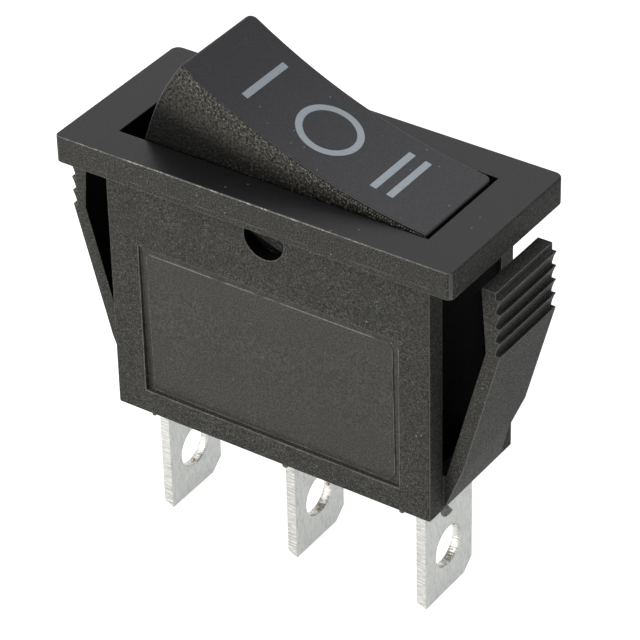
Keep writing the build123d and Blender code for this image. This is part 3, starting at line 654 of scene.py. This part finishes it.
def build_materials(finish):
    housing = list(finish.housing)
    satin = list(finish.satin)
    shade = list(finish.shade)
    worn_and_glint = list(finish.worn_and_glint)
    return {
        "housing": moulded_plastic("Spark-textured nylon", housing, worn_and_glint, finish.grain,
                                   0.03 * MM, 0.58, gloss=0.1, contrast=0.55, specks=3.8,
                                   dust=0.8, lip_glints=1.0),
        "panel": moulded_plastic("Smoother nylon", scaled(housing, 1.14), worn_and_glint, 1.2 * finish.grain,
                                 0.012 * MM, 0.55, gloss=0.16, contrast=0.34, specks=1.6, dust=0.5,
                                 lip_glints=1.0),
        "bezel_top": moulded_plastic("Satin nylon", satin, worn_and_glint, finish.grain, 0.004 * MM, 0.36,
                                     gloss=0.27, contrast=0.4, specks=2.5, dust=0.6),
        "rocker_top": moulded_plastic("Satin rocker nylon", scaled(satin, 2.3), worn_and_glint, finish.grain,
                                      0.004 * MM, 0.4, gloss=0.3, contrast=0.4, specks=2.0,
                                      edge_radius=0.08 * MM, wear_and_glint=0.3, dust=0.6),
        # Painted shade: near-black, nearly glossless nylon for the faces where shade falls.
        "shade": moulded_plastic("Painted shade nylon", shade, shade, finish.grain, 0.01 * MM, 0.7,
                                 gloss=0.02, wear_and_glint=0.0),
        # Edge materials: the first is rubbed pale and partly a painted highlight; the second is only a painted
        # glint along the bezel's front edge.
        "rubbed_and_glint": rubbed_and_glint_edge("Rubbed nylon with painted glint", housing, worn_and_glint, 0.6, -20 * MM, 30 * MM),
        "front_glint_edge": rubbed_and_glint_edge("Painted front-edge glint", housing, list(finish.bright), 1.0,
                                   -4 * MM, 13 * MM),
        "rocker_side": coarse_side("Coarse rocker nylon", list(finish.side), worn_and_glint,
                                   finish.coarse_grain, 0.05 * MM),
        "ink": printed_ink("Pale ink", list(finish.ink)),
        "plating": metal("Tin plating", list(finish.plating), (1.0, 1.0, 0.12), 0.09 * MM, 0.36,
                         0.004 * MM, dull=0.92, stains=0.3),
        "sheared": metal("Sheared sheet edge", list(finish.sheared), (0.12, 1.0, 1.0), 0.13 * MM, 0.34,
                         0.05 * MM, dull=0.55, stains=0.3),
        # Painted shade in the blades' dimples.
        "dimple_shade": metal("Painted dimple shade", list(finish.dimple_shade), (1.0, 1.0, 1.0), 0.2 * MM, 0.5,
                         0.01 * MM, dull=0.5),
        "burr": metal("Stained burr", list(finish.burr), (1.0, 1.0, 1.0), 0.12 * MM, 0.45,
                      0.02 * MM, dull=0.5, stains=0.5),
        "brass": metal("Brass strip", list(finish.brass), (0.06, 1.0, 1.0), 0.05 * MM, 0.32,
                       0.002 * MM),
        "silver": metal("Contact silver", list(finish.silver), (1.0, 1.0, 1.0), 0.1 * MM, 0.3,
                        0.002 * MM),
        "steel": metal("Spring wire", list(finish.steel), (1.0, 1.0, 1.0), 0.08 * MM, 0.28,
                       0.002 * MM),
        "acetal": natural_acetal("Natural acetal", list(finish.acetal)),
    }


MATERIALS = {}


def give(piece, *names):
    """Put these materials in the piece's slots, in order."""
    for name in names:
        piece.data.materials.append(MATERIALS[name])


# ---- pieces --------------------------------------------------------------------------------------
class SWITCH_OT_housing(bpy.types.Operator):
    """Mould the housing with its bezel, snap arms and label recess"""
    bl_idname = "switch.housing"
    bl_label = "Housing"

    WELL_FLOOR = -18.75 * MM
    POCKET_FLOOR = -17.1 * MM
    PIVOT_HOLE_SIDE = 1.8 * MM
    PIVOT_HOLE_FOOT = -3.75 * MM
    LABEL_TOP = -6.5 * MM
    LABEL_END = 9.95 * MM
    TOUCH = 0.1 * MM

    def execute(self, context):
        sizes = context.scene.switch_sizes
        low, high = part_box("housing")
        top = high.z - 0.3 * MM

        def upper(face):
            return face.center.z > top and face.normal.z > 0.9

        def label(face):
            inward = face.center.y + sizes.body_front
            return face.normal.y < -0.9 and 0.05 * MM < inward < 0.6 * MM

        # Faces that take the painted shade: the cavity and opening walls, the pockets, the arms' inner faces and
        # the pivot bore.
        def inner(face):
            x, y, z = abs(face.center.x), abs(face.center.y), face.center.z
            cavity = x < sizes.cavity_end and y < sizes.cavity_side and z > self.WELL_FLOOR
            pocket = x < sizes.pocket_end and y < sizes.pocket_side and self.POCKET_FLOOR < z < 0
            behind = face.normal.x * face.center.x < -0.2 * x and x > sizes.pocket_end and z < 0
            bore = (x < self.PIVOT_HOLE_SIDE and self.PIVOT_HOLE_FOOT < z < 0
                    and y < sizes.body_front - self.TOUCH)
            return bore or (cavity or pocket or behind) and face.normal.z < 0.9

        def rim(face):
            x, y, z = abs(face.center.x), abs(face.center.y), face.center.z
            return x < sizes.cavity_end + 0.2 * MM and y < sizes.cavity_side + 0.2 * MM and z > top

        # Faces of the bezel's top front edge that take the painted glint.
        def bright(face):
            front = face.center.y < low.y + 0.3 * MM
            return front and face.center.z > top and face.normal.z > 0.45 and face.normal.y < -0.4

        # Faces that take a faint painted highlight: the bezel's front-right corner and the label panel's top and
        # end lips.
        def faint_glint(face):
            x, y, z = face.center
            turn = face.normal
            corner = x > 12.7 * MM and y < -5 * MM and 0.5 < turn.x < 0.9 and turn.y < -0.4
            upper_lip = abs(z - self.LABEL_TOP) < self.TOUCH and turn.z > 0.9
            end_lip = abs(x - self.LABEL_END) < self.TOUCH and turn.x > 0.9
            return corner or -5.1 * MM < y < -4.6 * MM and (upper_lip or end_lip)

        # Every rounded edge takes the rubbed material, partly a painted highlight.
        piece = dressed_copy("housing", "moulded_housing", sizes.housing_edge,
                             ("housing", "bezel_top", "panel", "shade", "rubbed_and_glint", "front_glint_edge"),
                             ((2, label), (3, inner), (1, upper)), rubbed_and_glint=4,
                             late_rules=((3, inner), (1, rim), (4, faint_glint), (5, bright)))
        settle(piece, "housing_body", "housing_plastic", "housing")
        return {"FINISHED"}


class SWITCH_OT_rocker(bpy.types.Operator):
    """Mould the rocker: satin top, coarse sides"""
    bl_idname = "switch.rocker"
    bl_label = "Rocker"

    def execute(self, context):
        sizes = context.scene.switch_sizes

        # The pin flanks take the painted shade.
        def pin_flank(face):
            out = abs(face.center.y) > sizes.cavity_side - 0.2 * MM
            return out and abs(face.normal.y) <= 0.9 and face.center.z < 0

        piece = dressed_copy("rocker", "moulded_rocker", sizes.rocker_edge,
                             ("rocker_top", "rocker_side", "shade"),
                             ((1, lambda face: abs(face.normal.y) > 0.9), (2, pin_flank)))
        settle(piece, "rocker_body", "rocker_plastic", "rocker")
        return {"FINISHED"}


def print_on_rocker(piece, ink):
    """Lay a flat mark on the rocker's dished top and give it the ink's thickness."""
    finish_with(piece, "SHRINKWRAP", target=frame["nodes"]["rocker"], wrap_method="PROJECT",
                use_project_z=True, use_negative_direction=True, use_positive_direction=False,
                offset=0.0)
    finish_with(piece, "SOLIDIFY", thickness=ink, offset=1.0)
    smooth(piece, 50)
    settle(piece, "rocker_body", "rocker_plastic")


class SWITCH_OT_marks(bpy.types.Operator):
    """Print the I, the O and the II on the rocker"""
    bl_idname = "switch.marks"
    bl_label = "Marks"

    def execute(self, context):
        sizes = context.scene.switch_sizes
        above = level_box("rocker")[1].z + MM
        half = sizes.bar_pitch / 2
        bars = {"mark_one": sizes.first_bar, "mark_two_left": sizes.second_bars - half,
                "mark_two_right": sizes.second_bars + half}
        for name, place in bars.items():
            self.bar(name, place, above, sizes)
        self.ring(above, sizes)
        return {"FINISHED"}

    def bar(self, name, place, above, sizes):
        piece = new_piece(name, bpy.ops.mesh.primitive_plane_add, size=1.0)
        bpy.ops.object.mode_set(mode="EDIT")
        bpy.ops.transform.resize(value=(sizes.bar_width, sizes.bar_length, 1.0))
        bpy.ops.transform.translate(value=(place, sizes.bar_drift, above))
        bpy.ops.mesh.bevel(affect="VERTICES", offset=0.06 * MM, segments=3)
        bpy.ops.object.mode_set(mode="OBJECT")
        piece.matrix_world = LEVEL_TO_REST
        give(piece, "ink")
        print_on_rocker(piece, sizes.ink)

    def ring(self, above, sizes):
        piece = new_piece("mark_ring", bpy.ops.mesh.primitive_circle_add, vertices=96,
                          radius=sizes.ring_radius, fill_type="NGON")
        bpy.ops.object.mode_set(mode="EDIT")
        bpy.ops.transform.translate(value=(sizes.ring_place, sizes.ring_drift, above))
        bpy.ops.mesh.inset(thickness=sizes.ring_line)
        bpy.ops.mesh.delete(type="FACE")
        bpy.ops.object.mode_set(mode="OBJECT")
        piece.matrix_world = LEVEL_TO_REST
        give(piece, "ink")
        print_on_rocker(piece, sizes.ink)


class SWITCH_OT_terminals(bpy.types.Operator):
    """Stamp the three blade terminals"""
    bl_idname = "switch.terminals"
    bl_label = "Terminals"

    HOLES = (("common_terminal", "wire_hole_2"), ("throw_terminal_1", "wire_hole_1"),
             ("throw_terminal_2", "wire_hole_3"))
    DIMPLE_SPAN = (0.09 * MM, 0.39 * MM)  # its floor and flank, out from the middle of the sheet
    DIMPLE_LIT = 0.3 * MM                 # beyond this the flank stays bright

    def execute(self, context):
        sizes = context.scene.switch_sizes
        mounts = {mount["name"]: mount for mount in frame["record"]["mounts"]}
        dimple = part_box("housing")[0].z - sizes.dimple_drop
        for node, hole_name in self.HOLES:
            hole = mounts[hole_name]
            centre, radius = Vector(hole["pos_m"]), hole["dims"]["r_mm"] * MM

            # Dimple faces that take the painted shade: the floor and the flank on the side away from the light.
            def shaded_dimple(face):
                x, y, z = face.center.x - centre.x, face.center.y, face.center.z - dimple
                near, far = self.DIMPLE_SPAN
                return near < x < far and math.hypot(y, z) < sizes.dimple_radius and y < self.DIMPLE_LIT

            def share(place):
                away = math.hypot(place.y - centre.y, place.z - centre.z)
                return 1.0 if abs(away - radius) < 0.06 * MM else sizes.blade_edge / sizes.hole_edge

            piece = dressed_copy(node, f"tinned_{node}", sizes.hole_edge,
                                 ("plating", "sheared", "dimple_shade"),
                                 ((1, lambda face: abs(face.normal.x) < 0.5), (2, shaded_dimple)), share=share)
            settle(piece, "housing_body", "tinned_brass", node)
        return {"FINISHED"}


class SWITCH_OT_flash(bpy.types.Operator):
    """Leave the mould's nibs under the body and the punch's burrs in the blades' holes"""
    bl_idname = "switch.flash"
    bl_label = "Nibs and burrs"

    NIBS = ((-9.94, 0.16, 0.11), (1.1, 0.24, 0.16), (10.59, 0.2, 0.13))
    BURRS = ((1, -85, 0.17), (2, -75, 0.24), (2, -8, 0.13), (3, -70, 0.15), (3, 40, 0.12))

    def execute(self, context):
        sizes = context.scene.switch_sizes
        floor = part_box("housing")[0].z
        for index, (place, width, drop) in enumerate(self.NIBS, 1):
            self.lump(f"mould_nib_{index}", (width * MM, 0.11 * MM, drop * MM), index,
                      Vector((place * MM, 0.1 * MM - sizes.body_front, floor - 0.4 * drop * MM)),
                      "rubbed_and_glint", "housing_plastic")
        holes = {mount["name"]: mount for mount in frame["record"]["mounts"]}
        for index, (blade, angle, size) in enumerate(self.BURRS, 1):
            hole = holes[f"wire_hole_{blade}"]
            turn = math.radians(angle)
            reach = hole["dims"]["r_mm"] * MM
            place = Vector(hole["pos_m"]) + reach * Vector((0, math.cos(turn), math.sin(turn)))
            self.lump(f"punch_burr_{index}", (0.16 * MM, size * MM, size * MM), 10 + index, place,
                      "burr", "tinned_brass")
        return {"FINISHED"}

    def lump(self, name, size, seed, place, finish, slot):
        piece = new_piece(name, bpy.ops.mesh.primitive_ico_sphere_add, subdivisions=3, radius=1.0)
        bpy.ops.object.mode_set(mode="EDIT")
        bpy.ops.mesh.select_all(action="SELECT")
        bpy.ops.transform.resize(value=size)
        bpy.ops.transform.vertex_random(offset=0.22 * min(size), seed=seed)
        bpy.ops.mesh.vertices_smooth(factor=0.5, repeat=1)
        bpy.ops.transform.translate(value=place)
        bpy.ops.object.mode_set(mode="OBJECT")
        give(piece, finish)
        smooth(piece, 60)
        settle(piece, "housing_body", slot)


class SWITCH_OT_mechanism(bpy.types.Operator):
    """Make the lever, its contacts, the plunger and the fixed contacts"""
    bl_idname = "switch.mechanism"
    bl_label = "Mechanism"

    PARTS = (("contact_lever", "brass_lever", "lever_body", "lever_brass", "brass"),
             ("lever_contact_1", "silver_lever_contact_1", "lever_body", "contact_silver", "silver"),
             ("lever_contact_2", "silver_lever_contact_2", "lever_body", "contact_silver", "silver"),
             ("throw_contact_1", "silver_throw_contact_1", "housing_body", "contact_silver", "silver"),
             ("throw_contact_2", "silver_throw_contact_2", "housing_body", "contact_silver", "silver"),
             ("plunger", "acetal_plunger", "plunger_body", "plunger_plastic", "acetal"))

    def execute(self, context):
        sizes = context.scene.switch_sizes
        for node, name, body, slot, finish in self.PARTS:
            piece = dressed_copy(node, name, sizes.sheet_edge, (finish,))
            settle(piece, body, slot, node)
        return {"FINISHED"}


class SWITCH_OT_spring(bpy.types.Operator):
    """Wind the plunger's spring"""
    bl_idname = "switch.spring"
    bl_label = "Spring"

    turns = 4.5
    wire = 0.36 * MM
    travel = 0.6 * MM   # plunger into rocker, over the whole slide
    steps = 28          # round one turn

    def execute(self, context):
        low, high = level_box("plunger_spring")
        radius = (high.y - low.y - self.wire) / 2
        run = high.z - low.z - self.wire
        piece = new_piece("wound_spring", bpy.ops.mesh.primitive_circle_add, vertices=16,
                          radius=self.wire / 2, fill_type="NGON")
        bpy.ops.object.mode_set(mode="EDIT")
        bpy.ops.transform.rotate(value=math.pi / 2, orient_axis="X", center_override=(0, 0, 0))
        bpy.ops.transform.translate(value=(radius, 0, low.z + self.wire / 2))
        bpy.ops.object.mode_set(mode="OBJECT")
        finish_with(piece, "SCREW", angle=2 * math.pi * self.turns, screw_offset=run / self.turns,
                    steps=int(self.steps * self.turns), render_steps=int(self.steps * self.turns),
                    iterations=1, use_normal_calculate=True)
        piece.matrix_world = LEVEL_TO_REST
        give(piece, "steel")
        smooth(piece, 50)
        settle(piece, "rocker_body", "spring_steel", "plunger_spring")
        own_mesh(piece)
        return {"FINISHED"}


# ---- stage ---------------------------------------------------------------------------------------
def area_lamp(name, direction, distance, size, power, tint, aim):
    data = bpy.data.lights.new(name, "AREA")
    data.shape = "DISK"
    data.size = size
    data.energy = power
    data.color = tint
    lamp = bpy.data.objects.new(name, data)
    bpy.context.scene.collection.objects.link(lamp)
    direction = Vector(direction).normalized()
    lamp.location = aim + direction * distance
    lamp.rotation_mode = "QUATERNION"
    lamp.rotation_quaternion = direction.to_track_quat("Z", "Y")
    return lamp


def seen_rays(tree):
    """1 for rays that show the background: camera, mirror and see-through rays."""
    path = tree.nodes.new("ShaderNodeLightPath")
    seen = math_node(tree, "ADD", path.outputs["Is Camera Ray"], path.outputs["Is Glossy Ray"], True)
    return math_node(tree, "ADD", seen, path.outputs["Is Transmission Ray"], True)


def white_world(sky):
    world = bpy.data.worlds.new("Studio")
    bpy.context.scene.world = world
    world.use_nodes = True
    tree = world.node_tree
    background = tree.nodes["Background"]
    background.inputs["Color"].default_value = (1.0, 1.0, 1.0, 1.0)
    strength = mix_value(tree, seen_rays(tree), sky, 1.0)
    tree.links.new(strength, background.inputs["Strength"])


def floor_material(rgb):
    """Pale floor that shows white and still takes the switch's shadow."""
    material, tree, shader = principled("Pale floor", **{"Roughness": 0.9, "Specular IOR Level": 0.0})
    shader.inputs["Base Color"].default_value = (*rgb, 1.0)
    shader.inputs["Emission Color"].default_value = (1.0, 1.0, 1.0, 1.0)
    tree.links.new(mix_value(tree, seen_rays(tree), 0.0, 0.85), shader.inputs["Emission Strength"])
    return material


class SWITCH_OT_stage(bpy.types.Operator):
    """Set the floor, the lamps and the camera"""
    bl_idname = "switch.stage"
    bl_label = "Stage"

    FLOOR_HALF = 1.5

    def execute(self, context):
        stage = context.scene.switch_stage
        aim = Vector(stage.aim)
        floor = new_piece("floor", bpy.ops.mesh.primitive_plane_add, size=2 * self.FLOOR_HALF,
                          location=(0, 0, CAD_BOX[0].z))
        floor.data.materials.append(floor_material(list(stage.floor)))
        white_world(stage.sky)
        area_lamp("front lamp", (-0.35, -0.8, 0.45), 0.5, 0.35, stage.key, (1.0, 0.98, 0.93), aim)
        area_lamp("top lamp", (-0.2, 0.35, 0.9), 0.5, 0.4, stage.top, (0.93, 0.95, 1.0), aim)
        area_lamp("edge lamp", (-0.47, -0.57, 0.67), 0.45, 0.06, stage.rim, (1.0, 1.0, 1.0), aim)
        self.camera(context.scene, stage, aim)
        context.scene.view_settings.view_transform = "Standard"
        return {"FINISHED"}

    def camera(self, scene, stage, aim):
        data = bpy.data.cameras.new("camera")
        data.lens = stage.lens
        data.clip_start = 0.01
        camera = bpy.data.objects.new("camera", data)
        scene.collection.objects.link(camera)
        level = math.cos(stage.elevation)
        back = Vector((math.sin(stage.azimuth) * level, -math.cos(stage.azimuth) * level,
                       math.sin(stage.elevation)))
        camera.rotation_mode = "QUATERNION"
        turn = back.to_track_quat("Z", "Y").to_matrix() @ Matrix.Rotation(stage.roll, 3, "Z")
        camera.rotation_quaternion = turn.to_quaternion()
        camera.location = aim + back * stage.distance
        scene.camera = camera


class VIEW3D_PT_switch(bpy.types.Panel):
    bl_label = "Rocker switch"
    bl_space_type = "VIEW_3D"
    bl_region_type = "UI"
    bl_category = "Switch"

    def draw(self, context):
        for group in (context.scene.switch_sizes, context.scene.switch_finish,
                      context.scene.switch_stage):
            box = self.layout.box()
            for name in group.__annotations__:
                box.prop(group, name)
        for operator in OPERATORS:
            self.layout.operator(operator.bl_idname)


OPERATORS = (SWITCH_OT_stage, SWITCH_OT_housing, SWITCH_OT_rocker, SWITCH_OT_marks,
             SWITCH_OT_terminals, SWITCH_OT_flash, SWITCH_OT_mechanism, SWITCH_OT_spring)
CLASSES = (SwitchSizes, SwitchFinish, SwitchStage, *OPERATORS, VIEW3D_PT_switch)


def register():
    for cls in CLASSES:
        bpy.utils.register_class(cls)
    bpy.types.Scene.switch_sizes = PointerProperty(type=SwitchSizes)
    bpy.types.Scene.switch_finish = PointerProperty(type=SwitchFinish)
    bpy.types.Scene.switch_stage = PointerProperty(type=SwitchStage)


def unregister():
    del bpy.types.Scene.switch_sizes
    del bpy.types.Scene.switch_finish
    del bpy.types.Scene.switch_stage
    for cls in reversed(CLASSES):
        bpy.utils.unregister_class(cls)


def main():
    register()
    build_groups()
    MATERIALS.update(build_materials(bpy.context.scene.switch_finish))
    bpy.ops.switch.stage()
    bpy.ops.switch.housing()
    bpy.ops.switch.rocker()
    bpy.ops.switch.marks()
    bpy.ops.switch.terminals()
    bpy.ops.switch.flash()
    bpy.ops.switch.mechanism()
    bpy.ops.switch.spring()


if __name__ == "__main__":
    main()
